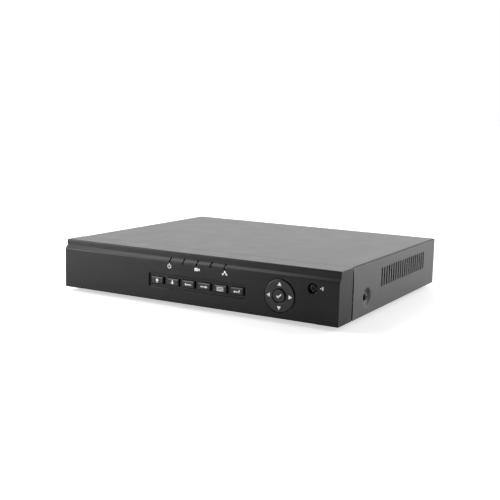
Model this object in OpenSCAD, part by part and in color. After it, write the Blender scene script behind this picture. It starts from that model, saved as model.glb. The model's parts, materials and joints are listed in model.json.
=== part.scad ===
// Compact four-channel video recorder. A folded steel pan and cover hold a disk, a main board,
// a small fan and the rear sockets. A moulded bezel carries six push keys, a four-way pad with
// an OK button, five indicator slots and a remote-control window.
// Millimetres. X runs left to right seen from the front, Y from front to back, and Z is up.
// The origin is the middle of the object's footprint, on the surface that it stands on.
// Inside the modules, Y is counted from the bezel's face and Z from the underside of the case.

/* [Case] */
// Width of the case, side to side
case_w = 300; // [299:1:306]
// Depth of the case, from the bezel's face to the back of the cover
case_d = 250; // [250:1:254]
// Height of the case without its feet
case_h = 48; // [48:0.5:50]
// Thickness of the folded steel
sheet = 0.8; // [0.8:0.1:1]
// Outer bend radius of the cover's long edges
bend_r = 2; // [1.5:0.25:2.5]
// Height of a rubber foot
foot_h = 4; // [3:0.5:6]
// Radius of a rubber foot
foot_r = 8.2; // [7:0.1:9]

/* [Bezel] */
// Depth of the bezel, front to back
bezel_d = 28.2; // [28:0.1:28.3]
// Thickness of the bezel's walls
wall = 2.5; // [2:0.1:2.5]
// How far the upper band is set back behind the lower face
band_back = 3; // [2:0.25:3.5]
// Height of the lower face, where the sloping shoulder begins
shoulder_z = 39; // [38.5:0.25:39.5]
// Gap between the bezel and the cover's sides
side_gap = 2.3; // [1:0.1:2.4]

/* [Keys] */
// Number of push keys
key_count = 6; // [6]
// Distance from one key to the next
key_pitch = 17.4; // [16.5:0.1:17.6]
// Width of a key cap
key_w = 13.4; // [12:0.1:13.6]
// Height of a key cap
key_h = 6.6; // [6:0.1:7]
// How far a key, or the OK button, can be pressed
key_travel = 0.5; // [0.3:0.05:0.6]

/* [Four-way pad] */
// Outer radius of the ring
ring_r = 14.85; // [14.5:0.05:15.2]
// Radius of the OK button
ok_r = 5.9; // [5.6:0.1:6.2]
// How far the OK button stands out of the bezel's face
ok_proud = 1.5; // [1.2:0.1:2]
// Greatest tilt of the ring, in degrees
ring_tilt = 1.5; // [1:0.1:1.6]

/* [Vents] */
// Number of slots in each side
vent_count = 20; // [16:1:20]
// Distance from one slot to the next
vent_pitch = 6.16; // [5.8:0.02:6.2]
// Width of a slot
vent_w = 3; // [2:0.1:3.2]
// Length of a slot
vent_l = 18.2; // [14:0.2:19]

/* [Rear sockets] */
// How far the video sockets reach behind the cover
bnc_out = 12; // [11:0.5:13]
// Radius of a video socket's front barrel
bnc_r = 4.8; // [4.7:0.05:4.8]
// Radius of an audio socket's shell
rca_r = 4.15; // [4.1:0.05:4.2]

/* [Hidden] */
$fn = 48;
tiny = 0.01;

// Where things are, in case coordinates.
half_w = case_w / 2;
front_y = ok_proud - (ok_proud + case_d + bnc_out) / 2;
pan_front = bezel_d + 0.4;           // front face of the pan's front wall
lip_y = case_d - sheet;              // inner face of the cover's back lip
back_y = lip_y - 0.1 - sheet;        // inner face of the pan's back wall
wall_top = case_h - sheet - 0.2;     // top of the pan's upright walls
wall_in = 5.5;                       // ends of the pan's front wall, in from the case's sides
back_in = max(1.4, bend_r - 0.5);    // ends of its back wall, clear of the cover's bends
rebate = [258, 0.9, 1];               // shallow step along the bottom of the bezel's face
keys_x = 6.6;                        // middle of the row of keys and of the indicator slots
keys_z = 19.4;
tray = [106, 12.4];
tray_deep = 1.5;
tray_bevel = 0.45;                   // chamfer round the tray's edge
led_count = 5;
led_pitch = 15;
pad = [93.3, 20.7];                  // middle of the four-way pad, x and z
pad_pivot_y = 6.5;                   // depth of the pad's two tilt axes
pad_switch_r = 12.8;                 // distance of its four switches from the middle
ir = [124.9, 31];                    // middle of the remote-control window
ir_r = 4.3;
pad_gap = 0.45;                      // round the ring
ok_gap = 0.6;                        // round the OK button
board_y = 11.7;                      // front face of the key board
board_t = 1.6;
switch_t = 3.5;
plunger_tip = 7.2;                   // front end of every switch plunger at rest
plunger_r = 1.75;
key_board_holes = [[-52, 19.4], [66, 34], [66, 7.6], [133, 12]];
guide_pins = [[-28.2, 27], [41.4, 27], [-28.2, 11.8], [41.4, 11.8]];
ribbon_x = 51;
ribbon_w = 20;
dimple = [62.4, 15.7];               // middle of the cover's side dimple, y and z
dimple_r = 10;
dimple_deep = 2.8;
tab_x = half_w - sheet - dimple_deep - 0.1;   // outer face of the pan's screw tabs, behind the dimples
vent_y = 97.6;                       // first slot
vent_z = 29.2;                       // middle of the slots
lip_screw_x = [-125, 0, 125];
lip_screw_z = case_h - 4;
lip_low = case_h - 6.4;              // lower edge of the cover's back lip
foot_x = 124;
foot_y = [48, 226];
main_z = 6;                          // underside of the main board
main_top = main_z + board_t;
main_x = [-25, 145];
main_y = [121, 247];
main_holes = [[-20, 126], [140, 126], [-20, 196], [140, 196]];
disk = [-92.2, 60, 5];               // middle of the disk's connector edge, at its underside
disk_size = [101.6, 147, 26.1];
disk_hole = [47.625, 41.28, 44.45];  // half spacing across, first hole, and spacing along
fan = [-95, 22.3];                   // middle of the fan, x and z
fan_size = 40;
fan_t = 10;
fan_hole = 16;
bnc_x = [113, 132];
rca_x = 93;
socket_z = [14.5, 31.5];
bnc_tip = case_d + bnc_out;
vga_x = 64;
vga_z = 14.2;
vga_post = 12.5;
hdmi_x = 37.5;
lan_x = 17;
usb_x = -3.5;
dc = [-19, 13.2];
port_face = case_d + 0.6;

// Routes of the two leads from the disk to the main board, set by hand.
data_route = [[-76, 56.5, 9], [-76, 50, 9], [-74, 44.5, 9.5], [-68, 40.5, 10], [-58, 39, 10.5],
    [-46, 40, 11], [-34, 44, 11], [-24, 51, 11], [-16, 61, 11], [-10, 73, 11.5], [-6, 86, 12],
    [-4, 98, 12.5], [-4, 108, 12.5], [-4, 116, 12.5], [-4, 120.6, 12.5]];
power_route = [[-104, 56.5, 9], [-104, 49, 9], [-101, 41, 8], [-93, 36, 6], [-80, 34.4, 4.4],
    [-62, 34, 4.2], [-44, 34.6, 4.2], [-28, 38, 4.2], [-12, 46, 4.2], [2, 58, 4.4], [12, 72, 5],
    [18, 88, 7], [21, 101, 10], [22, 111, 12.5], [22, 116, 12.8], [22, 120.6, 12.8]];

// ---------- helpers ----------

// Moves a piece drawn in case coordinates to its place.
module in_case() translate([0, front_y, foot_h]) children();

// A plate of the child outline, drawn in x and z, from y0 to y1.
module slab_y(y0, y1) translate([0, y1, 0]) rotate([90, 0, 0]) linear_extrude(y1 - y0) children();

// A plate of the child outline, drawn in y and z, from x0 to x1.
module slab_x(x0, x1) translate([x0, 0, 0]) rotate([90, 0, 90]) linear_extrude(x1 - x0) children();

// A plate of the child outline, drawn in x and y, from z0 to z1.
module slab_z(z0, z1) translate([0, 0, z0]) linear_extrude(z1 - z0) children();

module box(x0, x1, y0, y1, z0, z1) translate([x0, y0, z0]) cube([x1 - x0, y1 - y0, z1 - z0]);

module rod_y(x, z, r, y0, y1) translate([x, y1, z]) rotate([90, 0, 0]) cylinder(r = r, h = y1 - y0);

module rod_x(y, z, r, x0, x1) translate([x0, y, z]) rotate([0, 90, 0]) cylinder(r = r, h = x1 - x0);

module rod_z(x, y, r, z0, z1) translate([x, y, z0]) cylinder(r = r, h = z1 - z0);

// A shape turned about a Y axis through x and z: the child outline is radius by distance forward of y.
module turned_y(x, y, z) translate([x, y, z]) rotate([90, 0, 0]) rotate_extrude() children();

// A rectangle round its middle, with round corners.
module round_rect(w, h, corner) {
    r = min(corner, w / 2 - tiny, h / 2 - tiny);
    square([w - 2 * r, h], center = true);
    square([w, h - 2 * r], center = true);
    for (i = [-1, 1], j = [-1, 1]) translate([i * (w / 2 - r), j * (h / 2 - r)]) circle(r);
}

// Points on an arc about c, from angle a0 to a1.
function arc(c, r, a0, a1, steps = 6) =
    [for (i = [0 : steps]) c + r * [cos(a0 + (a1 - a0) * i / steps), sin(a0 + (a1 - a0) * i / steps)]];

// A cross-head screw: its head's bearing face is at the origin, and it goes in along -Z.
module screw(head_r, head_h, r, length) {
    difference() {
        union() {
            cylinder(r = head_r, h = head_h * 0.55);
            translate([0, 0, head_h * 0.55]) cylinder(r1 = head_r, r2 = head_r * 0.72, h = head_h * 0.45);
        }
        for (a = [0, 90]) rotate(a) translate([0, 0, head_h])
            cube([head_r * 1.1, head_r * 0.28, head_h], center = true);
    }
    translate([0, 0, -length]) cylinder(r = r, h = length + tiny);
}

// A closed tube along a route, width across and height up, with a ring of sides at every point.
module tube(route, across, up, sides = 8) {
    last = len(route) - 1;
    function unit(v) = v / norm(v);
    function heading(i) = unit(route[min(i + 1, last)] - route[max(i - 1, 0)]);
    function side(i) = unit(cross(heading(i), [0, 0, 1]));
    points = [for (i = [0 : last], k = [0 : sides - 1]) let (a = 360 * k / sides)
        route[i] + side(i) * across / 2 * cos(a) + cross(side(i), heading(i)) * up / 2 * sin(a)];
    walls = [for (i = [0 : last - 1], k = [0 : sides - 1]) let (n = (k + 1) % sides)
        [i * sides + k, i * sides + n, (i + 1) * sides + n, (i + 1) * sides + k]];
    ends = [[for (k = [0 : sides - 1]) sides - 1 - k], [for (k = [0 : sides - 1]) last * sides + k]];
    polyhedron(points = points, faces = concat(walls, ends));
}

function key_x(i) = keys_x + (i - (key_count - 1) / 2) * key_pitch;

function led_x(i) = keys_x + (i - (led_count - 1) / 2) * led_pitch;

// ---------- case ----------

// A pressed-up boss that holds the disk off the floor: the raised metal.
module boss_metal(x, y) translate([x, y, 0]) cylinder(r1 = 8, r2 = 6, h = disk.z);

// The hollow under a pressed-up boss, and its hole.
module boss_hollow(x, y) translate([x, y, 0]) {
    translate([0, 0, -tiny]) cylinder(r1 = 7, r2 = 5, h = disk.z - sheet + tiny);
    cylinder(r = 1.9, h = disk.z + 1);
}

module at_disk_holes() for (i = [-1, 1], j = [0, 1])
    translate([disk.x + i * disk_hole.x, disk.y + disk_hole.y + j * disk_hole.z, 0]) children();

// The stamped guard over the fan: ring slots broken by four spokes.
module fan_guard() difference() {
    for (r = [4.5, 9.5, 14.5]) difference() {
        circle(r + 3.4);
        circle(r);
    }
    for (a = [45, 135]) rotate(a) square([2.6, 50], center = true);
}

module back_wall() {
    difference() {
        box(-half_w + back_in, half_w - back_in, back_y, back_y + sheet, 0, wall_top);
        slab_y(back_y - 1, back_y + 2) {
            for (x = bnc_x, z = socket_z) translate([x, z]) circle(6.1);
            for (z = socket_z) translate([rca_x, z]) circle(6);
            translate([vga_x, vga_z]) round_rect(32, 13.6, 1);
            translate([hdmi_x, 10.6]) round_rect(16, 6.8, 0.8);
            translate([lan_x, 14.4]) round_rect(17, 14.4, 0.6);
            translate([usb_x, 15.5]) round_rect(15.4, 16.6, 0.6);
            translate(dc) round_rect(10, 11.8, 0.6);
            translate(fan) fan_guard();
            for (i = [-1, 1], j = [-1, 1]) translate(fan + fan_hole * [i, j]) circle(1.7);
            for (x = lip_screw_x) translate([x, lip_screw_z]) circle(1.5);
        }
    }
}

module front_wall() difference() {
    box(-half_w + wall_in, half_w - wall_in, pan_front, pan_front + sheet, 0, wall_top);
    for (x = [-100, 20, 128]) {
        box(x - 6.6, x + 6.6, pan_front - 1, pan_front + 2, 38.5, 41.9);
        box(x - 6.6, x + 6.6, pan_front - 1, pan_front + 2, 2.6, 6);
    }
    box(ribbon_x - 13, ribbon_x + 13, pan_front - 1, pan_front + 2, 7, 18);
}

module base_pan() color("dimgray") in_case() difference() {
    union() {
        box(-half_w + 1.2, half_w - 1.2, pan_front, back_y + sheet, 0, sheet);
        front_wall();
        box(-half_w + wall_in, half_w - wall_in, pan_front, pan_front + 10, wall_top - sheet, wall_top);
        back_wall();
        for (s = [-1, 1]) {
            difference() {
                mirror([s < 0 ? 1 : 0, 0, 0])
                    box(half_w - 1.2 - sheet, half_w - 1.2, pan_front + 4, back_y + tiny, 0, 12);
                box(s * half_w - 5, s * half_w + 5, dimple.x - 12.5, dimple.x + 12.5, sheet, 13);
            }
            mirror([s < 0 ? 1 : 0, 0, 0]) difference() {
                box(tab_x - 1, tab_x, dimple.x - 9, dimple.x + 9, 0, 24);
                rod_x(dimple.x, dimple.y, 1.5, tab_x - 2, tab_x + 1);
            }
        }
        at_disk_holes() boss_metal(0, 0);
    }
    at_disk_holes() boss_hollow(0, 0);
    for (x = [-foot_x, foot_x], y = foot_y) rod_z(x, y, 2.5, -1, 2);
    slab_z(-1, 2) for (i = [0 : 9]) translate([48 + i * 8, 84]) round_rect(3.2, 34, 1.6);
}

module cover_section() {
    t = sheet;
    polygon(concat([[half_w, 0]], arc([half_w - bend_r, case_h - bend_r], bend_r, 0, 90),
        arc([-half_w + bend_r, case_h - bend_r], bend_r, 90, 180), [[-half_w, 0], [-half_w + t, 0]],
        arc([-half_w + bend_r, case_h - bend_r], bend_r - t, 180, 90),
        arc([half_w - bend_r, case_h - bend_r], bend_r - t, 90, 0), [[half_w - t, 0]]));
}

module side_dimple_metal(s) mirror([s < 0 ? 1 : 0, 0, 0])
    translate([half_w - sheet - dimple_deep, dimple.x, dimple.y])
        rotate([0, 90, 0]) cylinder(r1 = 5, r2 = dimple_r + 0.6, h = dimple_deep + sheet * 0.5);

module side_dimple_hollow(s) mirror([s < 0 ? 1 : 0, 0, 0]) {
    translate([half_w - dimple_deep, dimple.x, dimple.y])
        rotate([0, 90, 0]) cylinder(r1 = 4.6, r2 = dimple_r, h = dimple_deep + tiny);
    rod_x(dimple.x, dimple.y, 1.7, half_w - 6, half_w);
}

module top_cover() color("dimgray") in_case() difference() {
    union() {
        slab_y(pan_front, case_d) cover_section();
        box(-half_w + bend_r, half_w - bend_r, lip_y, case_d, lip_low, case_h - sheet / 2);
        for (s = [-1, 1]) side_dimple_metal(s);
    }
    for (s = [-1, 1]) {
        side_dimple_hollow(s);
        slab_x(s * half_w - 1.5, s * half_w + 1.5) polygon([[pan_front - 1, -1], [bezel_d + side_gap, -1],
            [bezel_d + side_gap, case_h - 14], [bezel_d + 0.7, case_h - bend_r],
            [pan_front - 1, case_h - bend_r]]);
    }
    slab_x(-half_w - 1, half_w + 1) for (i = [0 : vent_count - 1])
        translate([vent_y + i * vent_pitch, vent_z]) round_rect(vent_w, vent_l, vent_w / 2);
    for (x = lip_screw_x) rod_y(x, lip_screw_z, 1.7, lip_y - 1, case_d + 1);
}

module cover_screws() color("black") in_case() {
    for (s = [-1, 1]) translate([s * (half_w - dimple_deep), dimple.x, dimple.y])
        rotate([0, s * 90, 0]) screw(2.9, 1.8, 1.45, 3.4);
    for (x = lip_screw_x) translate([x, case_d, lip_screw_z]) rotate([-90, 0, 0]) screw(2.9, 1.8, 1.45, 5);
}

module rubber_feet() color("black") in_case()
for (x = [-foot_x, foot_x], y = foot_y) translate([x, y, 0]) {
    difference() {
        union() {
            translate([0, 0, -foot_h]) cylinder(r1 = foot_r - 0.8, r2 = foot_r, h = 1);
            translate([0, 0, 1 - foot_h]) cylinder(r = foot_r, h = foot_h - 1);
        }
        translate([0, 0, -foot_h - 1]) cylinder(r = 3, h = 2);
    }
    translate([0, 0, -1]) cylinder(r = 2.4, h = 2.2 + sheet);
    translate([0, 0, sheet + 0.05]) cylinder(r1 = 3.1, r2 = 2.2, h = 1.4);
}

// ---------- bezel ----------

module bezel_outline() {
    soft = 2;                            // radius of the shoulder's lower edge
    polygon(concat(arc([0.6, 0.6], 0.6, 270, 180, 3),
        arc([soft, shoulder_z - soft * tan(22.5)], soft, 180, 135, 5),
        [[band_back, shoulder_z + band_back]],
        arc([band_back + 1.4, case_h - 1.4], 1.4, 180, 90), [[bezel_d, case_h], [bezel_d, 0]]));
}

module bezel_hollow() polygon([[wall, wall], [wall, shoulder_z - 1],
    [wall + band_back, shoulder_z + band_back - 1], [wall + band_back, case_h - wall],
    [bezel_d + 1, case_h - wall], [bezel_d + 1, wall]]);

// Snap hooks that hold the bezel to the pan's front wall, at the top and the bottom.
module bezel_hooks() for (x = [-100, 20, 128]) {
    box(x - 6, x + 6, 24, bezel_d, 39.8, case_h - 1);
    box(x - 6, x + 6, 24, pan_front + sheet + 2.6, 39.8, 41.4);
    box(x - 6, x + 6, pan_front + sheet + 0.4, pan_front + sheet + 2.6, 37.6, 40);
    box(x - 6, x + 6, 24, bezel_d, 1, 4.6);
    box(x - 6, x + 6, 24, pan_front + sheet + 2.6, 3.1, 4.6);
    box(x - 6, x + 6, pan_front + sheet + 0.4, pan_front + sheet + 2.6, 4.5, 6.9);
}

module front_bezel() color("#2b2b2b") in_case() difference() {
    union() {
        difference() {
            slab_x(-half_w, half_w) bezel_outline();
            slab_x(-half_w + wall, half_w - wall) bezel_hollow();
        }
        slab_y(wall - tiny, wall + 1) translate([keys_x - 0.3, keys_z]) square([112, 17], center = true);
        for (p = key_board_holes) rod_y(p.x, p.y, 3.2, wall - tiny, board_y);
        for (p = guide_pins) rod_y(p.x, p.y, 1.1, wall, 7.6);
        bezel_hooks();
    }
    translate([keys_x - 0.3, 0, keys_z]) {
        slab_y(-1, tray_deep) round_rect(tray.x, tray.y, 1);
        hull() {
            slab_y(-tiny, 0) round_rect(tray.x + 2 * tray_bevel, tray.y + 2 * tray_bevel, 1.5, $fn = 32);
            slab_y(tray_bevel, tray_bevel + tiny) round_rect(tray.x, tray.y, 1, $fn = 32);
        }
    }
    for (i = [0 : key_count - 1])
        slab_y(tray_deep - 1, wall + 2) translate([key_x(i), keys_z]) round_rect(key_w + 1, key_h + 1, 1);
    rod_y(pad.x, pad.y, ring_r + pad_gap, -1, wall + 1);
    rod_y(ir.x, ir.y, ir_r + 0.1, -1, wall + 1);
    turned_y(ir.x, 0, ir.y) polygon([[0, 1], [ir_r + 1.6, 1], [ir_r, -0.6], [0, -0.6]]);
    for (i = [0 : led_count - 1])
        box(led_x(i) - 0.6, led_x(i) + 0.6, -1, 7, shoulder_z - 1.8, shoulder_z + 3.6);
    for (p = key_board_holes) rod_y(p.x, p.y, 1.1, board_y - 7, board_y + 1);
    box(-rebate.x / 2, rebate.x / 2, -1, rebate.y, -1, rebate.z);
}

// ---------- keys ----------

module key_cap(i) color("#242424") in_case() translate([key_x(i), 0, keys_z]) {
    bevel = 0.85;
    corner = 0.7;
    hull() {
        slab_y(-bevel, tiny - bevel) round_rect(key_w - 2 * bevel, key_h - 2 * bevel, 0.4, $fn = 32);
        slab_y(0, tiny) round_rect(key_w, key_h, corner, $fn = 32);
    }
    slab_y(0, 3.81) round_rect(key_w, key_h, corner);
    slab_y(3.8, 4.8) round_rect(key_w + 2.4, key_h + 2.4, 1.2);
    slab_y(4.7, plunger_tip) square([5, 3], center = true);
}

module plunger(x, z) color("black") in_case() rod_y(x, z, plunger_r, plunger_tip, board_y - 1.3);

module key_up() key_cap(0);
module key_down() key_cap(1);
module key_left() key_cap(2);
module key_right() key_cap(3);
module key_menu() key_cap(4);
module key_esc() key_cap(5);
module plunger_up() plunger(key_x(0), keys_z);
module plunger_down() plunger(key_x(1), keys_z);
module plunger_left() plunger(key_x(2), keys_z);
module plunger_right() plunger(key_x(3), keys_z);
module plunger_menu() plunger(key_x(4), keys_z);
module plunger_esc() plunger(key_x(5), keys_z);
module plunger_ok() plunger(pad.x, pad.y);
module nav_plunger_up() plunger(pad.x, pad.y + pad_switch_r);
module nav_plunger_down() plunger(pad.x, pad.y - pad_switch_r);
module nav_plunger_left() plunger(pad.x - pad_switch_r, pad.y);
module nav_plunger_right() plunger(pad.x + pad_switch_r, pad.y);

// Holds the stems of the six keys square to the bezel.
module key_guide() color("#1e1e1e") in_case() difference() {
    union() {
        slab_y(5.6, 6.6) translate([keys_x, keys_z]) square([104, 19.4], center = true);
        for (p = guide_pins) rod_y(p.x, p.y, 1.9, wall + 1, 5.7);
    }
    for (i = [0 : key_count - 1])
        slab_y(5, 7) translate([key_x(i), keys_z]) square([5.6, 3.6], center = true);
    for (p = guide_pins) rod_y(p.x, p.y, 1.15, 3, 7);
}

// ---------- four-way pad ----------

module ok_button() color("#242424") in_case() {
    dish = 0.1;
    flange = ok_r + 1.4;
    turned_y(pad.x, 0, pad.y) polygon(concat([[0, -4.1], [flange, -4.1], [flange, -3.3], [ok_r, -3.3]],
        arc([ok_r - 0.6, ok_proud - 0.6], 0.6, 0, 80), [[ok_r - 1, ok_proud], [ok_r - 1.3, ok_proud - dish],
        [0, ok_proud - dish]]));
    rod_y(pad.x, pad.y, 2.2, 4, plunger_tip);
}

module nav_ring() color("#242424") in_case() {
    inner = ok_r + ok_gap;
    flange = ring_r + 1.8;
    turned_y(pad.x, 0, pad.y) polygon(concat([[inner + 1.4, -4.2], [flange, -4.2], [flange, -3.2],
        [ring_r, -3.2]], arc([ring_r - 0.9, -0.1], 0.9, 0, 85), [[inner + 0.5, 0.8], [inner, 0.4],
        [inner, -2.7], [inner + 1.4, -2.7]]));
    for (s = [-1, 1]) difference() {
        union() {
            box(pad.x + s * 8.1 - 1.5, pad.x + s * 8.1 + 1.5, 5, 7.6, pad.y - 1.6, pad.y + 1.6);
            box(pad.x + s * 9.2 - 0.5, pad.x + s * 9.2 + 0.5, 4, 5.1, pad.y - 1.6, pad.y + 1.6);
        }
        rod_x(pad_pivot_y, pad.y, 0.75, pad.x + s * 8.1 - 2, pad.x + s * 8.1 + 2);
    }
    for (a = [0 : 90 : 270]) translate([pad.x, 0, pad.y]) rotate([0, a, 0])
        box(-2, 2, 4, 6.7, pad_switch_r - 0.9, pad_switch_r + 0.9);
}

// The loose cross-shaped carrier between the ring's tilt axis and the bracket's.
module nav_gimbal() color("#1e1e1e") in_case() {
    difference() {
        rod_y(pad.x, pad.y, 6.2, 5.3, 7.7);
        rod_y(pad.x, pad.y, 4.6, 5, 8);
    }
    for (s = [-1, 1]) {
        rod_x(pad_pivot_y, pad.y, 0.7, pad.x + s * 6.6 - 1.2, pad.x + s * 6.6 + 1.2);
        rod_z(pad.x, pad_pivot_y, 0.7, pad.y + s * 6.6 - 1.2, pad.y + s * 6.6 + 1.2);
    }
}

// Two pivot posts on a plate, fixed to the key board.
module nav_bracket() color("#1e1e1e") in_case() {
    difference() {
        rod_y(pad.x, pad.y, 9.5, board_y - 1, board_y);
        rod_y(pad.x, pad.y, 4.8, board_y - 2, board_y + 1);
    }
    for (s = [-1, 1]) difference() {
        box(pad.x - 1.8, pad.x + 1.8, 5, board_y - 0.9, pad.y + s * 7.3 - 0.7, pad.y + s * 7.3 + 0.7);
        rod_z(pad.x, pad_pivot_y, 0.75, pad.y + s * 7.3 - 1, pad.y + s * 7.3 + 1);
    }
}

// ---------- behind the bezel ----------

module switch_body(x, z) difference() {
    slab_y(board_y - switch_t, board_y) translate([x, z]) square(6, center = true);
    rod_y(x, z, plunger_r + 0.08, board_y - switch_t - 1, board_y - 0.5);
}

module tact_switches() color("#333333") in_case() {
    for (i = [0 : key_count - 1]) switch_body(key_x(i), keys_z);
    switch_body(pad.x, pad.y);
    for (s = [-1, 1]) {
        switch_body(pad.x + s * pad_switch_r, pad.y);
        switch_body(pad.x, pad.y + s * pad_switch_r);
    }
}

module key_board() color("darkgreen") in_case() difference() {
    slab_y(board_y, board_y + board_t) translate([41, 23.75]) round_rect(196, 38.5, 1);
    for (p = key_board_holes) rod_y(p.x, p.y, 1.4, board_y - 1, board_y + 3);
}

module light_guide() color("whitesmoke") in_case() {
    for (i = [0 : led_count - 1]) {
        slab_x(led_x(i) - 0.45, led_x(i) + 0.45) polygon([[1.3, shoulder_z - 1.6], [1.3, shoulder_z],
            [band_back + 1.3, shoulder_z + band_back], [band_back + 1.3, shoulder_z + 3.4],
            [6.5, shoulder_z + 3.4], [6.5, shoulder_z - 1.6]]);
        box(led_x(i) - 0.9, led_x(i) + 0.9, 7.9, 9.6, shoulder_z - 0.4, shoulder_z + 1.4);
    }
    box(led_x(0) - 2, led_x(led_count - 1) + 2, 6.4, 8, shoulder_z - 0.7, shoulder_z + 3.4);
    for (x = [led_x(0) - 3, led_x(led_count - 1) + 1.4])
        box(x, x + 1.6, 6.4, board_y, shoulder_z - 0.7, shoulder_z + 3.4);
}

module indicator_leds() color("white") in_case() for (i = [0 : led_count - 1])
    box(led_x(i) - 0.8, led_x(i) + 0.8, 9.8, board_y, shoulder_z - 0.3, shoulder_z + 1.3);

module ir_window() color("#1a0a0c") in_case() turned_y(ir.x, 0, ir.y)
    polygon(concat([[0, -2.4], [3, -2.4], [3, -3.5], [ir_r + 1.4, -3.5], [ir_r + 1.4, -2.6], [ir_r, -2.6],
        [ir_r, -1.9]], arc([0, -13.2], 11.9, 70, 90, 5)));

module ir_receiver() color("black") in_case() difference() {
    union() {
        box(ir.x - 2.9, ir.x + 2.9, 7.4, board_y, ir.y - 3.6, ir.y + 3.4);
        rod_y(ir.x, ir.y, 2.3, 5.6, 7.5);
    }
    box(ir.x - 4, ir.x + 4, 5, 6.1, ir.y - 4, ir.y - 1.7);
}

// A flat lead from the key board, through the pan's front wall, to the main board.
module ribbon_cable() color("lightgray") in_case() {
    line = [[15, 12], [24, 12.4], [36, 12], [50, 9.6], [64, 7], [78, 6], [92, 7], [104, 10], [114, 12.4],
        [121, 12.8]];
    back = [for (i = [len(line) - 1 : -1 : 0]) line[i] - [0, 0.5]];
    slab_x(ribbon_x - ribbon_w / 2, ribbon_x + ribbon_w / 2)
        polygon(concat([for (p = line) p + [0, 0.5]], back));
    box(ribbon_x - 12, ribbon_x + 12, board_y + board_t, 18.5, 9, 15);
    box(ribbon_x - 12, ribbon_x + 12, 120, 127, main_top, 15);
}

// ---------- main board ----------

module main_board() color("darkgreen") in_case() difference() {
    box(main_x[0], main_x[1], main_y[0], main_y[1], main_z, main_top);
    for (p = main_holes) rod_z(p.x, p.y, 1.6, main_z - 1, main_top + 1);
}

module board_standoffs() color("silver") in_case() for (p = main_holes) difference() {
    rod_z(p.x, p.y, 3, sheet, main_z);
    rod_z(p.x, p.y, 1.25, sheet + 0.5, main_z + 1);
}

module board_screws() color("silver") in_case() {
    for (p = main_holes) translate([p.x, p.y, main_top]) screw(2.8, 1.7, 1.2, 5);
    for (p = key_board_holes) translate([p.x, board_y + board_t, p.y])
        rotate([-90, 0, 0]) screw(2.5, 1.5, 1.05, 6);
}

module processor() color("black") in_case() box(41.5, 68.5, 171.5, 198.5, main_top, main_top + 1.8);

module heatsink() color("silver") in_case() {
    low = main_top + 1.8;
    box(35, 75, 165, 205, low, low + 2.6);
    for (i = [0 : 8]) box(35 + i * 4.8, 36.6 + i * 4.8, 165, 205, low + 2.5, low + 13);
}

module coin_cell() color("silver") in_case() {
    rod_z(118, 150, 10, main_top, main_top + 2.4);
    rod_z(118, 150, 8.6, main_top + 2.3, main_top + 3.2);
}

// Sockets for the disk's two leads, a sounder, chips and capacitors on the main board.
module board_parts() color("#222222") in_case() {
    difference() {
        union() {
            box(-12, 4, 121.2, 128, main_top, 16.6);
            box(14, 30, 121.2, 128, main_top, 17);
        }
        box(-9.8, 1.8, 120, 125.4, 9.7, 14.9);
        box(15.7, 28.3, 120, 125.4, 9.7, 15.3);
    }
    rod_z(90, 140, 6, main_top, main_top + 8);
    for (p = [[-15, 226], [-15, 212], [2, 212]]) rod_z(p.x, p.y, 4, main_top, main_top + 11.5);
    for (p = [[90, 214], [104, 214], [118, 214]]) box(p.x, p.x + 7, p.y, p.y + 9, main_top, main_top + 1.6);
    for (p = [[42, 148], [60, 148]]) box(p.x, p.x + 12, p.y, p.y + 9, main_top, main_top + 1.2);
}

// ---------- disk ----------

module disk_case() color("silver") in_case() translate(disk) difference() {
    slab_z(0, disk_size.z - 0.8) translate([0, disk_size.y / 2]) round_rect(disk_size.x, disk_size.y, 3);
    slab_z(12, disk_size.z) translate([0, disk_size.y / 2])
        round_rect(disk_size.x - 10, disk_size.y - 10, 4);
    box(-40, 40, 6, 112, -1, 3);
    box(-32, 32, -1, 7, -1, 9.5);
    for (i = [-1, 1], j = [0, 1]) rod_z(i * disk_hole.x, disk_hole.y + j * disk_hole.z, 1.6, -1, 6);
}

module disk_cover() color("silver") in_case() translate(disk) {
    slab_z(disk_size.z - 0.8, disk_size.z - 0.1) translate([0, disk_size.y / 2])
        round_rect(disk_size.x - 2, disk_size.y - 2, 3);
    for (p = [[-44, 8], [44, 8], [-44, 139], [44, 139], [-44, 74], [44, 74]])
        rod_z(p.x, p.y, 2.4, disk_size.z - 0.2, disk_size.z);
}

module disk_board() color("darkgreen") in_case() translate(disk) {
    box(-38, 38, 6.4, 110, 0.8, 2.4);
    difference() {
        box(-30, 30, 0.6, 6.5, 0.8, 8.4);
        box(-26.5, -2.5, -1, 4.6, 2.4, 5.6);
        box(9.2, 23.2, -1, 4.6, 2.4, 5.6);
    }
}

module disk_screws() color("silver") in_case() at_disk_holes() translate([0, 0, disk.z - sheet])
    rotate([180, 0, 0]) screw(3.2, 1.9, 1.55, 6);

module disk_data_cable() color("firebrick") in_case() {
    tube(data_route, 2.4, 7);
    box(-82, -70, 52, 64, 7.6, 10.4);
    box(-83, -69, 52, 59, 6.2, 12);
    box(-10.5, 2.5, 115, 121, 8.6, 16.4);
    box(-9.5, 1.5, 120, 125, 10, 14.6);
}

module disk_power_cable() color("black") in_case() {
    tube(power_route, 4.2, 4.2);
    box(-118, -95, 52, 64, 7.6, 10.4);
    box(-119, -94, 52, 59, 6.2, 12);
    box(15, 29, 115, 121, 8.6, 16.8);
    box(16, 28, 120, 125, 10, 15);
}

// ---------- fan ----------

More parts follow.
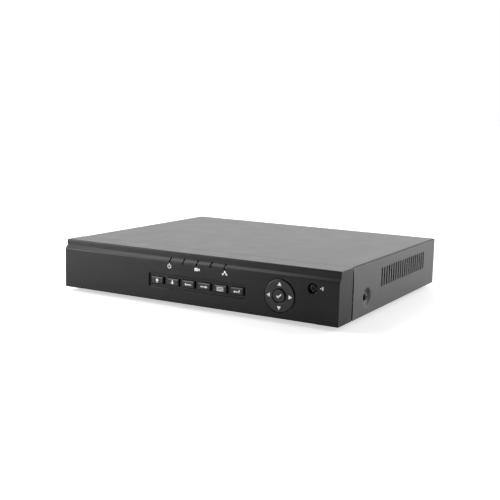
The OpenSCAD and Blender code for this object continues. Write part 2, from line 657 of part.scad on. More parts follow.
module fan_frame() color("#202020") in_case() difference() {
    union() {
        difference() {
            slab_y(back_y - fan_t, back_y) translate(fan) round_rect(fan_size, fan_size, 2.5);
            rod_y(fan.x, fan.y, 18.9, back_y - fan_t - 1, back_y + 1);
        }
        translate([fan.x, 0, fan.y]) for (a = [0, 90, 180, 270]) rotate([0, a + 45, 0])
            box(-1.2, 1.2, back_y - fan_t, back_y - fan_t + 1.4, 8, 20);
        rod_y(fan.x, fan.y, 9.5, back_y - fan_t, back_y - fan_t + 1.4);
        rod_y(fan.x, fan.y, 3, back_y - fan_t, back_y - 3.4);
    }
    rod_y(fan.x, fan.y, 1.05, back_y - fan_t + 0.6, back_y - 3);
    for (i = [-1, 1], j = [-1, 1])
        rod_y(fan.x + i * fan_hole, fan.y + j * fan_hole, 1.5, back_y - fan_t - 1, back_y + 1);
}

module fan_rotor() color("#181818") in_case() {
    blades = 7;
    difference() {
        rod_y(fan.x, fan.y, 10.5, back_y - 8, back_y - 1);
        rod_y(fan.x, fan.y, 9.3, back_y - 9, back_y - 2.2);
    }
    rod_y(fan.x, fan.y, 1, back_y - fan_t + 1.2, back_y - 2);
    translate([fan.x, back_y - 4.5, fan.y]) intersection() {
        difference() {
            rod_y(0, 0, 18.2, -3.4, 3.4);
            rod_y(0, 0, 10.2, -4, 4);
        }
        for (i = [0 : blades - 1]) rotate([0, i * 360 / blades, 0]) translate([0, 0, 14]) rotate([0, 0, 38])
            cube([12, 1.1, 10], center = true);
    }
}

module fan_screws() color("silver") in_case() for (i = [-1, 1], j = [-1, 1])
    translate([fan.x + i * fan_hole, back_y + sheet, fan.y + j * fan_hole])
        rotate([-90, 0, 0]) screw(2.8, 1.7, 1.35, 9);

// ---------- rear sockets ----------

module video_sockets() color("silver") in_case() for (x = bnc_x) difference() {
    union() {
        box(x - 7.4, x + 7.4, back_y - 13, back_y - 0.2, main_top, 39.4);
        for (z = socket_z) {
            rod_y(x, z, 5.6, back_y - 1, case_d + 1.2);
            rod_y(x, z, bnc_r + 0.3, back_y - 1, bnc_tip - 4.4);
            rod_y(x, z, bnc_r, back_y - 1, bnc_tip);
            rod_x(bnc_tip - 5.6, z, 1, x - 6, x + 6);
        }
    }
    for (z = socket_z) rod_y(x, z, 4.05, bnc_tip - 8.4, bnc_tip + 1);
}

module audio_sockets() color("silver") in_case() for (z = socket_z) difference() {
    union() {
        rod_y(rca_x, z, 5.6, back_y - 0.2, case_d);
        rod_y(rca_x, z, rca_r, back_y - 1, case_d + 8);
    }
    rod_y(rca_x, z, 3.3, back_y - 2, case_d + 9);
}

module socket_insulators() color("white") in_case() {
    for (x = bnc_x, z = socket_z) difference() {
        rod_y(x, z, 2.4, bnc_tip - 8.4, bnc_tip - 1.2);
        rod_y(x, z, 0.9, bnc_tip - 7, bnc_tip);
    }
    for (z = socket_z) difference() {
        rod_y(rca_x, z, 3.3, back_y - 2, case_d + 7.4);
        rod_y(rca_x, z, 1.95, case_d - 3, case_d + 9);
    }
    difference() {
        box(rca_x - 7, rca_x + 7, back_y - 11, back_y - 0.2, main_top, 38.4);
        for (z = socket_z) rod_y(rca_x, z, rca_r, back_y - 2, back_y);
    }
}

module contact_tube(x, z, outer, inner, y0, y1) difference() {
    rod_y(x, z, outer, y0, y1);
    rod_y(x, z, inner, y0 + 1, y1 + 1);
}

module socket_contacts() color("gold") in_case() {
    for (x = bnc_x, z = socket_z) contact_tube(x, z, 0.9, 0.5, bnc_tip - 7, bnc_tip - 1.4);
    for (z = socket_z) contact_tube(rca_x, z, 1.95, 1.65, case_d - 3, case_d + 7);
    for (i = [0 : 7]) box(lan_x - 3.8 + i * 1.02, lan_x - 3.5 + i * 1.02, port_face - 11, port_face - 3,
        main_top + 11, main_top + 11.6);
    rod_y(dc.x, dc.y, 1, port_face - 10.5, port_face - 1.4);
}

module vga_face(w, h) hull() {
    translate([0, h / 2 - 1.6]) square([w - 1, 3.2], center = true);
    translate([0, -h / 2 + 1.6]) square([w - 3.2, 3.2], center = true);
}

module vga_socket() color("silver") in_case() {
    difference() {
        union() {
            box(vga_x - 15.3, vga_x + 15.3, back_y - 9, back_y - 0.3, main_top, main_top + 12.4);
            slab_y(back_y - 0.4, back_y + 0.9) translate([vga_x, vga_z]) round_rect(30.8, 12.5, 1);
            slab_y(back_y + 0.7, case_d + 4.4) translate([vga_x, vga_z]) vga_face(17.4, 8.4);
        }
        slab_y(back_y - 2, case_d + 5) translate([vga_x, vga_z]) vga_face(16.4, 7.4);
        for (s = [-1, 1]) rod_y(vga_x + s * vga_post, vga_z, 1.25, case_d - 4, case_d + 5);
    }
    for (s = [-1, 1]) difference() {
        translate([vga_x + s * vga_post, case_d + 4, vga_z])
            rotate([90, 0, 0]) cylinder(r = 2.8, h = 5.2, $fn = 6);
        rod_y(vga_x + s * vga_post, vga_z, 1.25, case_d - 4, case_d + 5);
    }
}

module hdmi_port() color("silver") in_case() difference() {
    slab_y(back_y - 10, port_face) translate([hdmi_x, main_top + 2.8]) round_rect(15, 5.6, 0.8);
    slab_y(port_face - 9, port_face + 1) translate([hdmi_x, main_top + 2.8]) round_rect(14.2, 4.8, 0.6);
}

module lan_port() color("silver") in_case() difference() {
    box(lan_x - 8, lan_x + 8, back_y - 16, port_face, main_top, main_top + 13.4);
    box(lan_x - 7.4, lan_x + 7.4, port_face - 16, port_face + 1, main_top + 0.6, main_top + 12.8);
}

module usb_ports() color("silver") in_case() difference() {
    box(usb_x - 7.2, usb_x + 7.2, back_y - 15, port_face, main_top, main_top + 15.6);
    for (z = [3.9, 11.7]) slab_y(port_face - 12, port_face + 1)
        translate([usb_x, main_top + z]) square([12.6, 5.4], center = true);
}

// Plastic bodies and tongues inside those three ports, and inside the VGA socket.
module port_inserts() color("#1c1c1c") in_case() {
    slab_y(port_face - 9, port_face - 1.6) translate([hdmi_x, main_top + 3.1])
        square([11, 1.5], center = true);
    difference() {
        box(lan_x - 7.4, lan_x + 7.4, port_face - 16, port_face - 0.4, main_top + 0.6, main_top + 12.8);
        box(lan_x - 5.9, lan_x + 5.9, port_face - 13, port_face, main_top + 3.2, main_top + 11.6);
        box(lan_x - 3.2, lan_x + 3.2, port_face - 13, port_face, main_top + 1.2, main_top + 4);
    }
    for (z = [main_top + 4, main_top + 11.8])
        box(usb_x - 5.6, usb_x + 5.6, port_face - 12, port_face - 1, z, z + 1.8);
    difference() {
        slab_y(back_y - 2, case_d + 3.4) translate([vga_x, vga_z]) vga_face(15.4, 6.4);
        for (row = [-1 : 1], i = [-2 : 2])
            rod_y(vga_x + i * 2.3 + row * 0.6, vga_z + row * 1.9, 0.5, case_d - 2, case_d + 4);
    }
}

module dc_jack() color("#1c1c1c") in_case() difference() {
    box(dc.x - 4.6, dc.x + 4.6, back_y - 12, port_face, main_top, main_top + 11);
    rod_y(dc.x, dc.y, 3.1, port_face - 10.5, port_face + 1);
}

// ---------- nodes ----------

base_pan();
top_cover();
front_bezel();
cover_screws();
rubber_feet();
key_up();
key_down();
key_left();
key_right();
key_menu();
key_esc();
plunger_up();
plunger_down();
plunger_left();
plunger_right();
plunger_menu();
plunger_esc();
ok_button();
plunger_ok();
nav_ring();
nav_gimbal();
nav_bracket();
nav_plunger_up();
nav_plunger_down();
nav_plunger_left();
nav_plunger_right();
key_guide();
light_guide();
indicator_leds();
ir_window();
ir_receiver();
key_board();
tact_switches();
ribbon_cable();
main_board();
board_standoffs();
board_screws();
processor();
heatsink();
coin_cell();
board_parts();
disk_case();
disk_cover();
disk_board();
disk_screws();
disk_data_cable();
disk_power_cable();
fan_frame();
fan_rotor();
fan_screws();
video_sockets();
audio_sockets();
socket_insulators();
socket_contacts();
vga_socket();
hdmi_port();
lan_port();
usb_ports();
port_inserts();
dc_jack();
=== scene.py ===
import json
import math

import bmesh
import bpy
from mathutils import Matrix, Vector


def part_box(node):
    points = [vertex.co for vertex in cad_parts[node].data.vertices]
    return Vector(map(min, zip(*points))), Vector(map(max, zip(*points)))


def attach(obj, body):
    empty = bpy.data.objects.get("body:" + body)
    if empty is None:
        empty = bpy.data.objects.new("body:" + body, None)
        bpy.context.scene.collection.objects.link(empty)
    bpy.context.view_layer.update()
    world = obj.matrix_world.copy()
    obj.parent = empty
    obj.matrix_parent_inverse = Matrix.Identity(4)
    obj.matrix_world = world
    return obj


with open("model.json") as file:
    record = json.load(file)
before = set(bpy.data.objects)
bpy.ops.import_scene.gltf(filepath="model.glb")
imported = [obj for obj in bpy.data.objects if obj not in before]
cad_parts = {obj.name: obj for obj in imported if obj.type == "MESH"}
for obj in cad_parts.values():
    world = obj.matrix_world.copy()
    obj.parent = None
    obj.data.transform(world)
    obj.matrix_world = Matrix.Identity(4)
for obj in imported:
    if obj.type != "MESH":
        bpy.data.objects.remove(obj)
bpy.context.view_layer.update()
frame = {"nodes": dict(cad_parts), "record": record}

MM = 0.001

# ---------- camera ----------

CAMERA_AZIMUTH = math.radians(29.428)     # round from straight in front, towards the right side
CAMERA_ELEVATION = math.radians(9.024)
CAMERA_ROLL = math.radians(1.431)
CAMERA_DISTANCE = 919.586 * MM
CAMERA_LENS = 64.216                      # on a 36 mm sensor
LOOK_AT = Vector((-1.24, -17.25, 41.6)) * MM


def make_camera():
    """The main camera, turned to look at a point near the middle of the recorder."""
    a, e = CAMERA_AZIMUTH, CAMERA_ELEVATION
    back = Vector((math.sin(a) * math.cos(e), -math.cos(a) * math.cos(e), math.sin(e)))
    camera = bpy.data.objects.new("main_camera", bpy.data.cameras.new("main_camera"))
    camera.data.lens = CAMERA_LENS
    camera.data.sensor_width = 36
    camera.data.dof.use_dof = False
    camera.data.clip_start, camera.data.clip_end = 0.01, 50
    camera.location = LOOK_AT + back * CAMERA_DISTANCE
    upright = (-back).to_track_quat("-Z", "Y").to_matrix()
    turn = upright @ Matrix.Rotation(CAMERA_ROLL, 3, "Z")
    camera.rotation_euler = turn.to_euler()
    bpy.context.scene.collection.objects.link(camera)
    bpy.context.scene.camera = camera


make_camera()

# ---------- materials ----------


class Nodes:
    """Short names for building a node tree: every call adds a node and returns an output socket."""

    def __init__(self, name):
        self.material = bpy.data.materials.new(name)
        self.material.use_nodes = True
        self.tree = self.material.node_tree
        self.shader = self.tree.nodes["Principled BSDF"]

    def add(self, kind, inputs=(), output=0, **settings):
        node = self.tree.nodes.new(kind)
        for key, value in settings.items():
            setattr(node, key, value)
        for key, value in dict(inputs).items():
            self.put(node.inputs[key], value)
        return node.outputs[output]

    def put(self, socket, value):
        if isinstance(value, bpy.types.NodeSocket):
            self.tree.links.new(value, socket)
        else:
            socket.default_value = value

    def set(self, **values):
        for key, value in values.items():
            self.put(self.shader.inputs[key.replace("_", " ")], value)

    def place(self, stretch=(1, 1, 1)):
        """Coordinates in metres that move with the piece, stretched along the axes."""
        where = self.add("ShaderNodeTexCoord", output="Object")
        return self.add("ShaderNodeMapping", {"Vector": where, "Scale": stretch})

    def noise(self, size, where, detail=2.0, rough=0.5):
        return self.add("ShaderNodeTexNoise", {"Vector": where, "Scale": 1 / size, "Detail": detail,
                                               "Roughness": rough})

    def spread(self, value, low, high, to_low=0.0, to_high=1.0):
        return self.add("ShaderNodeMapRange", {"Value": value, "From Min": low, "From Max": high,
                                               "To Min": to_low, "To Max": to_high})

    def maths(self, operation, a, b):
        return self.add("ShaderNodeMath", {0: a, 1: b}, operation=operation)

    def mix(self, amount, a, b):
        node = self.tree.nodes.new("ShaderNodeMix")
        node.data_type = "RGBA"
        self.put(node.inputs[0], amount)
        self.put(node.inputs[6], a)
        self.put(node.inputs[7], b)
        return node.outputs[2]

    def edges(self, radius):
        """1 along the edges of the shape, within the radius of them, and 0 elsewhere."""
        soft = self.add("ShaderNodeBevel", {"Radius": radius}, samples=4)
        flat = self.add("ShaderNodeNewGeometry", output="Normal")
        same = self.add("ShaderNodeVectorMath", {0: soft, 1: flat}, output="Value", operation="DOT_PRODUCT")
        return self.spread(same, 0.995, 0.9)

    def folds(self):
        """1 where the surface faces between upright and sideways, as on a fold, and 0 on the flat sheet."""
        facing = self.add("ShaderNodeNewGeometry", output="Normal")
        either_way = self.add("ShaderNodeVectorMath", {0: facing}, output="Vector", operation="ABSOLUTE")
        upright, sideways = (self.add("ShaderNodeVectorMath", {0: either_way, 1: axis}, output="Value",
                                      operation="DOT_PRODUCT") for axis in ((0, 0, 1), (1, 0, 0)))
        return self.spread(self.maths("MULTIPLY", upright, sideways), 0.08, 0.35)

    def bump(self, height, depth, strength=1.0):
        return self.add("ShaderNodeBump", {"Height": height, "Distance": depth, "Strength": strength})


def rgba(colour, gain=1.0):
    return (*[min(1.0, c * gain) for c in colour], 1.0)


BROAD_PATCH = 25 * MM       # size of the uneven patches of tone and gloss
WEAR_SPECK = 1.6 * MM       # size of the breaks in a worn edge
WEAR_GLOSS = 0.12           # how much smoother a worn edge is
FOLD_PAINTED_SHADE = 0.75            # painted shade: the tone on folds and other sloping faces, against the flat sheet


def finish(slot, colour, rough, grain, depth, uneven=0.1, gloss_change=0.08, wear=None, wear_width=0.4 * MM,
           stretch=(1, 1, 1), fold_dulling_and_shade=0.0, **shader):
    """A finish for a slot: fine grain in bump and roughness, uneven tone, worn edges, and rougher folds with
    painted shade on them.
    """
    n = Nodes(slot)
    where = n.place(stretch)
    fine = n.noise(grain, where, detail=3, rough=0.6)
    broad = n.noise(BROAD_PATCH, n.place(), detail=4, rough=0.55)
    tone = n.mix(n.spread(broad, 0.3, 0.7), rgba(colour, 1 - uneven), rgba(colour, 1 + uneven))
    speck = n.mix(n.spread(fine, 0.35, 0.7, 0.0, 0.5), tone, rgba(colour, 1 + 2.2 * uneven))
    shine = n.maths("ADD", n.spread(fine, 0.3, 0.7, rough - gloss_change, rough + gloss_change),
                    n.spread(broad, 0.3, 0.7, -gloss_change / 2, gloss_change / 2))
    # painted shade: faces that slope between upright and sideways, as on folds and dimple walls, are painted
    # darker against the highlight the lamps put there, and are also made rougher
    if fold_dulling_and_shade:
        fold_shade_mask = n.folds()
        speck = n.mix(fold_shade_mask, speck, rgba(colour, FOLD_PAINTED_SHADE))
        shine = n.maths("ADD", shine, n.maths("MULTIPLY", fold_shade_mask, fold_dulling_and_shade))
    if wear:
        broken = n.spread(n.noise(WEAR_SPECK, n.place()), 0.3, 0.75, 0.15, 0.9)
        worn = n.maths("MULTIPLY", n.edges(wear_width), broken)
        speck = n.mix(worn, speck, rgba(wear))
        shine = n.maths("SUBTRACT", shine, n.maths("MULTIPLY", worn, WEAR_GLOSS))
    n.set(Base_Color=speck, Roughness=shine, Normal=n.bump(fine, depth), **shader)
    return n


def circuit_board(slot):
    """Green solder mask over copper tracks, with tinned pads between them."""
    n = Nodes(slot)
    where = n.place()
    cells = n.add("ShaderNodeTexVoronoi", {"Vector": where, "Scale": 1 / (5 * MM)}, distance="CHEBYCHEV")
    track = n.spread(n.add("ShaderNodeMath", {0: n.maths("MULTIPLY", cells, 60)}, operation="SINE"), 0.2, 0.5)
    pads = n.add("ShaderNodeTexVoronoi", {"Vector": where, "Scale": 1 / (3.1 * MM), "Randomness": 0.5})
    pad = n.spread(pads, 0.1, 0.07)
    mask = n.mix(track, (0.006, 0.05, 0.022, 1), (0.012, 0.1, 0.04, 1))
    n.set(Base_Color=n.mix(pad, mask, (0.55, 0.56, 0.55, 1)), Metallic=pad,
          Roughness=n.spread(n.noise(0.6 * MM, where), 0.3, 0.7, 0.28, 0.42),
          Normal=n.bump(n.maths("MAXIMUM", track, pad), 0.04 * MM), Specular_IOR_Level=0.5)
    return n


def brushed(slot, colour, rough, along=(1, 1, 30), grain=0.25 * MM, uneven=0.12, **shader):
    """Bare metal with fine lines along one axis, duller blotches and a few handling marks."""
    n = Nodes(slot)
    lines = n.noise(grain, n.place([1 / v for v in along]), detail=4, rough=0.7)
    dull = n.noise(6 * MM, n.place(), detail=5, rough=0.6)
    marks = n.spread(n.noise(1.2 * MM, n.place(), detail=1), 0.68, 0.78)
    tone = n.mix(n.spread(dull, 0.35, 0.65), rgba(colour, 1 - uneven), rgba(colour, 1 + uneven / 2))
    shine = n.maths("ADD", n.spread(lines, 0.25, 0.75, rough - 0.07, rough + 0.07),
                    n.maths("ADD", n.spread(dull, 0.4, 0.7, 0.0, 0.08), n.maths("MULTIPLY", marks, 0.1)))
    n.set(Base_Color=n.mix(n.maths("MULTIPLY", marks, 0.35), tone, rgba(colour, 0.6)), Roughness=shine,
          Normal=n.bump(lines, 0.012 * MM), Metallic=1.0, **shader)
    return n


FINISHES = {
    # bent steel sheet under a fine matt powder coat, with painted shade on its folds and dimple walls
    "steel_black": finish("steel_black", (0.024, 0.024, 0.0255), 0.42, 0.45 * MM, 0.02 * MM, uneven=0.06,
                          gloss_change=0.04, wear=(0.07, 0.07, 0.073), fold_dulling_and_shade=0.3,
                          Specular_IOR_Level=0.85),
    "bezel_plastic": finish("bezel_plastic", (0.0065, 0.0065, 0.0066), 0.34, 0.3 * MM, 0.01 * MM, uneven=0.08,
                            gloss_change=0.04, wear=(0.03, 0.03, 0.031), Specular_IOR_Level=0.3),
    "key_plastic": finish("key_plastic", (0.0075, 0.0075, 0.0076), 0.32, 0.22 * MM, 0.006 * MM, uneven=0.1,
                          gloss_change=0.04, wear=(0.07, 0.07, 0.074), wear_width=0.35 * MM),
    "pad_plastic": finish("pad_plastic", (0.0085, 0.0085, 0.0086), 0.32, 0.22 * MM, 0.005 * MM, uneven=0.1,
                          gloss_change=0.04, wear=(0.05, 0.05, 0.052), wear_width=0.35 * MM),
    "inner_plastic": finish("inner_plastic", (0.03, 0.03, 0.03), 0.5, 0.3 * MM, 0.01 * MM),
    "foot_rubber": finish("foot_rubber", (0.018, 0.018, 0.018), 0.75, 0.35 * MM, 0.04 * MM, uneven=0.2,
                          wear=(0.05, 0.05, 0.05)),
    "screw_black": finish("screw_black", (0.02, 0.02, 0.022), 0.34, 0.2 * MM, 0.01 * MM, uneven=0.2,
                          wear=(0.16, 0.15, 0.14), wear_width=0.15 * MM, Metallic=0.6),
    "screw_zinc": brushed("screw_zinc", (0.62, 0.62, 0.6), 0.3, along=(6, 1, 1)),
    "clear_plastic": finish("clear_plastic", (0.1, 0.1, 0.11), 0.2, 0.8 * MM, 0.004 * MM, Coat_Weight=0.4),
    "ir_plastic": finish("ir_plastic", (0.002, 0.0009, 0.001), 0.14, 1.1 * MM, 0.002 * MM, gloss_change=0.03,
                         Specular_IOR_Level=0.1),
    "switch_plastic": finish("switch_plastic", (0.02, 0.02, 0.02), 0.5, 0.3 * MM, 0.01 * MM),
    "circuit_board": circuit_board("circuit_board"),
    "chip_black": finish("chip_black", (0.022, 0.022, 0.024), 0.55, 0.25 * MM, 0.015 * MM, uneven=0.15),
    "ribbon_grey": finish("ribbon_grey", (0.42, 0.42, 0.43), 0.45, 0.6 * MM, 0.02 * MM,
                          stretch=(1, 0.05, 0.05)),
    "cable_red": finish("cable_red", (0.4, 0.03, 0.02), 0.42, 0.5 * MM, 0.01 * MM),
    "cable_black": finish("cable_black", (0.02, 0.02, 0.02), 0.45, 0.5 * MM, 0.01 * MM),
    "bare_aluminium": brushed("bare_aluminium", (0.7, 0.7, 0.71), 0.36, along=(1, 30, 1)),
    "cast_aluminium": finish("cast_aluminium", (0.5, 0.51, 0.52), 0.5, 0.5 * MM, 0.03 * MM, uneven=0.12,
                             wear=(0.75, 0.75, 0.76), Metallic=1.0),
    "bright_steel": brushed("bright_steel", (0.66, 0.66, 0.65), 0.3, along=(1, 20, 1)),
    "nickel_plate": brushed("nickel_plate", (0.7, 0.68, 0.64), 0.2, along=(1, 3, 1), uneven=0.08),
    "insulator_white": finish("insulator_white", (0.72, 0.7, 0.64), 0.4, 0.4 * MM, 0.006 * MM, uneven=0.05),
    "contact_gold": brushed("contact_gold", (0.8, 0.56, 0.2), 0.24, along=(1, 12, 1)),
    "port_plastic": finish("port_plastic", (0.022, 0.022, 0.022), 0.42, 0.3 * MM, 0.008 * MM),
    "fan_plastic": finish("fan_plastic", (0.018, 0.018, 0.018), 0.46, 0.35 * MM, 0.012 * MM,
                          wear=(0.05, 0.05, 0.05)),
    "white_print": finish("white_print", (0.93, 0.93, 0.93), 0.5, 0.2 * MM, 0.004 * MM, uneven=0.08),
}

# ---------- the CAD nodes ----------

# Width of the rounding on the edges of the nodes that show.
ROUNDING = {"front_bezel": 0.3, "top_cover": 0.2, "base_pan": 0.2, "nav_ring": 0.15, "ok_button": 0.12,
            "rubber_feet": 0.3, "dc_jack": 0.15, "port_inserts": 0.08, "lan_port": 0.12, "usb_ports": 0.12,
            "hdmi_port": 0.1, "vga_socket": 0.12, "fan_frame": 0.2, "video_sockets": 0.12,
            "audio_sockets": 0.12, "cover_screws": 0.1, "fan_screws": 0.1}
SHARP_ANGLE = math.radians(32)


def angle_smoother():
    """Geometry nodes that shade edges smooth where their faces meet at less than the sharp angle."""
    tree = bpy.data.node_groups.new("smooth_by_angle", "GeometryNodeTree")
    tree.interface.new_socket("Geometry", in_out="INPUT", socket_type="NodeSocketGeometry")
    tree.interface.new_socket("Geometry", in_out="OUTPUT", socket_type="NodeSocketGeometry")
    start, end = tree.nodes.new("NodeGroupInput"), tree.nodes.new("NodeGroupOutput")
    angle = tree.nodes.new("GeometryNodeInputMeshEdgeAngle")
    shallow = tree.nodes.new("FunctionNodeCompare")
    shallow.operation = "LESS_EQUAL"
    shallow.inputs[1].default_value = SHARP_ANGLE
    faces, edges = (tree.nodes.new("GeometryNodeSetShadeSmooth") for _ in range(2))
    edges.domain = "EDGE"
    for out, into in ((start.outputs[0], faces.inputs[0]),
                      (faces.outputs[0], edges.inputs[0]),
                      (angle.outputs[0], shallow.inputs[0]),
                      (shallow.outputs[0], edges.inputs["Shade Smooth"]),
                      (edges.outputs[0], end.inputs[0])):
        tree.links.new(out, into)
    return tree


SMOOTHER = angle_smoother()


def round_edges(piece, width):
    """Welds the CAD mesh's seams, rounds its sharp edges and keeps its flat faces flat."""
    if "custom_normal" in piece.data.attributes:
        piece.data.attributes.remove(piece.data.attributes["custom_normal"])
    weld = piece.modifiers.new("weld", "WELD")
    weld.merge_threshold = 0.002 * MM
    flatten = piece.modifiers.new("flatten", "DECIMATE")
    flatten.decimate_type = "DISSOLVE"
    flatten.angle_limit = math.radians(0.5)
    bevel = piece.modifiers.new("bevel", "BEVEL")
    bevel.width = width
    bevel.segments = 2
    bevel.limit_method = "ANGLE"
    bevel.angle_limit = SHARP_ANGLE
    bevel.use_clamp_overlap = False
    bevel.harden_normals = True
    smooth = piece.modifiers.new("smooth", "NODES")
    smooth.node_group = SMOOTHER
    weighted = piece.modifiers.new("weighted", "WEIGHTED_NORMAL")
    weighted.keep_sharp = True


def dress_cad_nodes():
    """Gives every CAD node its finish, and rounds the edges of those that show."""
    slots = {part["node"]: part["material_slot"] for part in frame["record"]["subparts"]}
    for name, piece in frame["nodes"].items():
        piece.data.materials.clear()
        piece.data.materials.append(FINISHES[slots[name]].material)
        if name in ROUNDING:
            round_edges(piece, ROUNDING[name] * MM)


dress_cad_nodes()

# ---------- printed signs ----------

PRINT_PROUD = 0.03 * MM         # how far the ink stands out of its surface
PRINT_SUNK = 0.02 * MM          # how far it reaches into it
OK_DISH = 0.1 * MM              # how far the middle of the centre button is dished
IR_SIGN = (8.85 * MM, 0.9 * MM)         # from the middle of the window to its sign, in X and Z
UNDER_INDICATORS = 5.2 * MM             # from the middle of the indicators down to their signs
POWER_CAMERA_SHIFT = 0.7 * MM           # in X, from the left end and the middle of the row of indicators
NETWORK_SHIFT = -0.5 * MM               # in X, from the right end of the row


def middle(node):
    low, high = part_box(node)
    return (Vector(low) + Vector(high)) / 2


def front(node):
    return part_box(node)[0][1]


def new_piece(name, mesh, body, slot):
    piece = bpy.data.objects.new(name, mesh)
    bpy.context.scene.collection.objects.link(piece)
    mesh.materials.append(FINISHES[slot].material)
    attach(piece, body)
    return piece


def print_on(name, outlines, body, x, y, z):
    """Prints closed outlines, drawn in millimetres in X and Y, on a surface that faces the front."""
    mesh = bpy.data.meshes.new(name)
    shape = bmesh.new()
    for outline in outlines:
        low, high = ([shape.verts.new((px * MM, py * MM, pz)) for px, py in outline]
                     for pz in (-PRINT_SUNK, PRINT_PROUD))
        shape.faces.new(low)
        shape.faces.new(high)
        for i, j in zip(range(len(outline)), [*range(1, len(outline)), 0]):
            shape.faces.new((low[i], low[j], high[j], high[i]))
    bmesh.ops.recalc_face_normals(shape, faces=shape.faces)
    shape.to_mesh(mesh)
    shape.free()
    mesh.transform(Matrix.Translation((x, y, z)) @ Matrix.Rotation(math.pi / 2, 4, "X"))
    new_piece(name, mesh, body, "white_print")


def curve_points(x, y, radius, start, end, steps):
    turns = [math.radians(start + (end - start) * i / steps) for i in range(steps + 1)]
    return [(x + radius * math.cos(t), y + radius * math.sin(t)) for t in turns]


def disc(x, y, radius, steps=16):
    return curve_points(x, y, radius, 0, 360, steps)[:-1]


def band(x, y, radius, width, start, end, steps=20):
    """Part of a ring, inwards from the radius."""
    outside = curve_points(x, y, radius, start, end, steps)
    return outside + curve_points(x, y, radius - width, end, start, steps)


def bar(x0, x1, y0, y1):
    return [(x0, y0), (x1, y0), (x1, y1), (x0, y1)]


def link_bar(a, b, width, gap):
    """A straight bar between points a and b, with a gap at each end."""
    along = (Vector(b) - Vector(a)).normalized()
    side = Vector((-along.y, along.x)) * width / 2
    start, end = Vector(a) + along * gap, Vector(b) - along * gap
    return [tuple(p + k * side) for p, k in ((start, -1), (end, -1), (end, 1), (start, 1))]


def turned(outline, quarters):
    c, s = ((1, 0), (0, 1), (-1, 0), (0, -1))[quarters % 4]
    return [(c * x - s * y, s * x + c * y) for x, y in outline]


def arrow(length, head, shaft, quarters):
    """An arrow with a shaft, pointing right and then turned by quarter turns."""
    tip, neck = length / 2, length / 2 - 0.6 * head
    return turned([(-tip, -shaft / 2), (neck, -shaft / 2), (neck, -head / 2), (tip, 0), (neck, head / 2),
                   (neck, shaft / 2), (-tip, shaft / 2)], quarters)


def tick(short, long, width):
    """A check mark of two strokes at right angles, centred on the origin."""
    k = width / math.sqrt(8)
    x, y = (long - short) / 2, (long - k) / 2
    return [(px - x, py - y) for px, py in ((k - short, short + k), (0, 2 * k), (long - k, long + k),
                                            (long + k, long - k), (0, -2 * k), (-short - k, short - k))]


def print_signs():
    """Plain signs in place of words: arrows, menu lines, a way back, a tick and receiving waves."""
    back = [(-3.2, -0.4), (-1.6, -1.7), (-1.6, -0.8), (3.2, -0.8), (3.2, 1.6), (2.4, 1.6), (2.4, 0),
            (-1.6, 0), (-1.6, 0.9)]
    signs = {"up": [arrow(4.2, 3.8, 1.2, 1)], "down": [arrow(4.2, 3.8, 1.2, 3)],
             "left": [arrow(7.4, 2.8, 0.9, 2)], "right": [arrow(7.4, 2.8, 0.9, 0)],
             "menu": [bar(-3.6, 3.6, y - 0.32, y + 0.32) for y in (-1.4, 0, 1.4)], "esc": [back]}
    for key, outlines in signs.items():
        spot = middle("key_" + key)
        print_on("print_" + key, outlines, "key_" + key, spot.x, front("key_" + key), spot.z)

    pad = middle("nav_ring")
    print_on("print_ok", [tick(1.4, 3.1, 1.1)], "ok", pad.x, front("ok_button") + OK_DISH, pad.z)
    pointer = [(12.6, 0), (9.2, 1.95), (9.2, -1.95)]
    pointers = [turned(pointer, quarters) for quarters in range(4)]
    print_on("print_arrows", pointers, "pad_ring", pad.x, front("nav_ring"), pad.z)

    face, window = front("front_bezel"), middle("ir_window")
    waves = [disc(-1.2, 0, 0.5), band(-1.2, 0, 1.6, 0.5, -45, 45, 10), band(-1.2, 0, 2.6, 0.5, -45, 45, 10)]
    print_on("print_ir", waves, "case", window.x + IR_SIGN[0], face, window.z + IR_SIGN[1])

    # under the indicators: power on, recording and network
    row_low, row_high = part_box("indicator_leds")
    high = middle("indicator_leds").z - UNDER_INDICATORS
    power = [band(0, 0, 2.15, 0.75, 125, 415), bar(-0.375, 0.375, 0.3, 2.9)]
    camera = [bar(-2.9, 0.9, -1.35, 1.45), [(1.15, -0.1), (2.8, -1.3), (2.8, 1.35), (1.15, 0.55)]]
    hub, stations = (0, 1.1), ((-1.95, -1.0), (1.95, -1.0))
    network = [disc(x, y, 1) for x, y in (hub, *stations)]
    network += [link_bar(hub, station, 0.8, 1) for station in stations]
    print_on("print_power", power, "case", row_low[0] + POWER_CAMERA_SHIFT, face, high)
    row_middle = (row_low[0] + row_high[0]) / 2
    print_on("print_camera", camera, "case", row_middle + POWER_CAMERA_SHIFT, face, high)
    print_on("print_network", network, "case", row_high[0] + NETWORK_SHIFT, face, high)


print_signs()


def make_window_mark():
    """The diamond-shaped frame moulded on the face of the remote-control window."""
    spot = middle("ir_window")
    outer, inner, bevel, depth = 3.65 * MM, 1.7 * MM, 0.12 * MM, 1.0 * MM
    mesh = bpy.data.meshes.new("ir_diamond")
    shape = bmesh.new()
    rings = [[shape.verts.new((radius * math.cos(turn), radius * math.sin(turn), z))
              for turn in (side * math.pi / 2 for side in range(4))]
             for radius, z in ((outer, -depth), (outer - bevel, 0), (inner + bevel, 0), (inner, -depth))]
    for k in range(4):
        one, two = rings[k], rings[(k + 1) % 4]
        for i in range(4):
            j = (i + 1) % 4
            shape.faces.new((one[i], one[j], two[j], two[i]))
    bmesh.ops.recalc_face_normals(shape, faces=shape.faces)
    shape.to_mesh(mesh)
    shape.free()
    place = Matrix.Translation((spot.x, front("ir_window"), spot.z))
    mesh.transform(place @ Matrix.Rotation(math.pi / 2, 4, "X"))
    new_piece("ir_diamond", mesh, "case", "bezel_plastic")


make_window_mark()

# ---------- floor, light and backdrop ----------

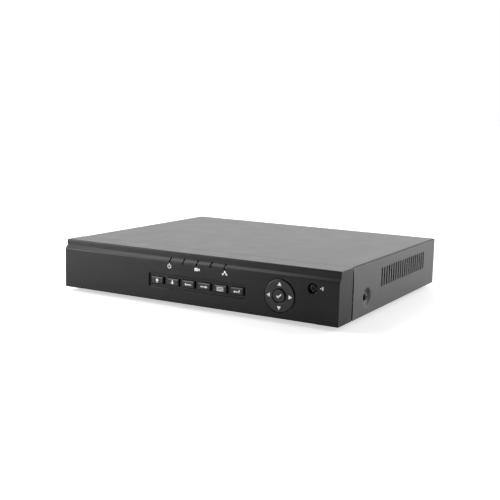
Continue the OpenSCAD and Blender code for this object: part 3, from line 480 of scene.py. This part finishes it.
BACK_LIGHT = 1.47               # strength of the backdrop as a light, right behind the recorder
BEZEL_MIDDLE = (-0.05, -0.12, 0.03)     # where the three lights on the left aim
FLOOR_RADIUS = 12
FLOOR_GLOW = (0.55, 1.0)        # the floor's glow near the recorder and far off, for the camera only
FLOOR_GLOW_REACH = (0.25, 1.1)  # how far from the middle it starts to grow, and is full


def make_floor():
    """A plain matt white disc, which runs into the white backdrop."""
    mesh = bpy.data.meshes.new("floor")
    shape = bmesh.new()
    bmesh.ops.create_circle(shape, cap_ends=True, radius=FLOOR_RADIUS, segments=96)
    shape.to_mesh(mesh)
    shape.free()
    floor = bpy.data.objects.new("floor", mesh)
    bpy.context.scene.collection.objects.link(floor)
    n = Nodes("floor")
    seen = n.add("ShaderNodeLightPath", output="Is Camera Ray")
    away = n.add("ShaderNodeVectorMath", {0: n.place()}, output="Value", operation="LENGTH")
    glow = n.spread(away, *FLOOR_GLOW_REACH, *FLOOR_GLOW)
    n.set(Base_Color=rgba((0.93, 0.93, 0.93)), Roughness=0.6, Emission_Color=rgba((1, 1, 1)),
          Emission_Strength=n.maths("MULTIPLY", seen, glow))
    mesh.materials.append(n.material)


def area_light(name, where, size, power, aim=(0, 0, 0)):
    lamp = bpy.data.lights.new(name, "AREA")
    lamp.shape = "RECTANGLE"
    lamp.size, lamp.size_y = size
    lamp.energy = power
    light = bpy.data.objects.new(name, lamp)
    light.location = Vector(where)
    light.rotation_euler = (Vector(aim) - Vector(where)).to_track_quat("-Z", "Y").to_euler()
    bpy.context.scene.collection.objects.link(light)


def make_world():
    """White to the camera. As a light it is bright behind the recorder and dark in front of it."""
    world = bpy.data.worlds.new("studio")
    world.use_nodes = True
    tree = world.node_tree
    light, seen, where, axes, ramp, path, mix = (tree.nodes["Background"], *map(tree.nodes.new, (
        "ShaderNodeBackground", "ShaderNodeTexCoord", "ShaderNodeSeparateXYZ", "ShaderNodeMapRange",
        "ShaderNodeLightPath", "ShaderNodeMixShader")))
    ramp.interpolation_type = "SMOOTHSTEP"
    for key, value in {"From Min": 0.1, "From Max": 0.8, "To Min": 0, "To Max": BACK_LIGHT}.items():
        ramp.inputs[key].default_value = value
    for out, into in ((where.outputs["Generated"], axes.inputs[0]),
                      (axes.outputs["Y"], ramp.inputs["Value"]),
                      (ramp.outputs[0], light.inputs["Strength"]),
                      (path.outputs["Is Camera Ray"], mix.inputs[0]),
                      (light.outputs[0], mix.inputs[1]),
                      (seen.outputs[0], mix.inputs[2]),
                      (mix.outputs[0], tree.nodes["World Output"].inputs["Surface"])):
        tree.links.new(out, into)
    for background in (light, seen):
        background.inputs["Color"].default_value = (1, 1, 1, 1)
    bpy.context.scene.world = world
    bpy.context.scene.view_settings.view_transform = "Standard"


make_floor()
make_world()
area_light("front_left", (-0.6, -0.5, 0.3), (0.35, 0.35), 2.75, aim=BEZEL_MIDDLE)
area_light("low_panel", (-0.85, -0.97, 0.16), (0.75, 0.2), 4.6, aim=BEZEL_MIDDLE)
area_light("above_left", (-0.5, -0.2, 0.75), (0.45, 0.45), 3.25, aim=BEZEL_MIDDLE)
area_light("back_right", (1.2, 1.4, 0.5), (1.0, 0.8), 17.2, aim=(0.1, 0, 0.03))
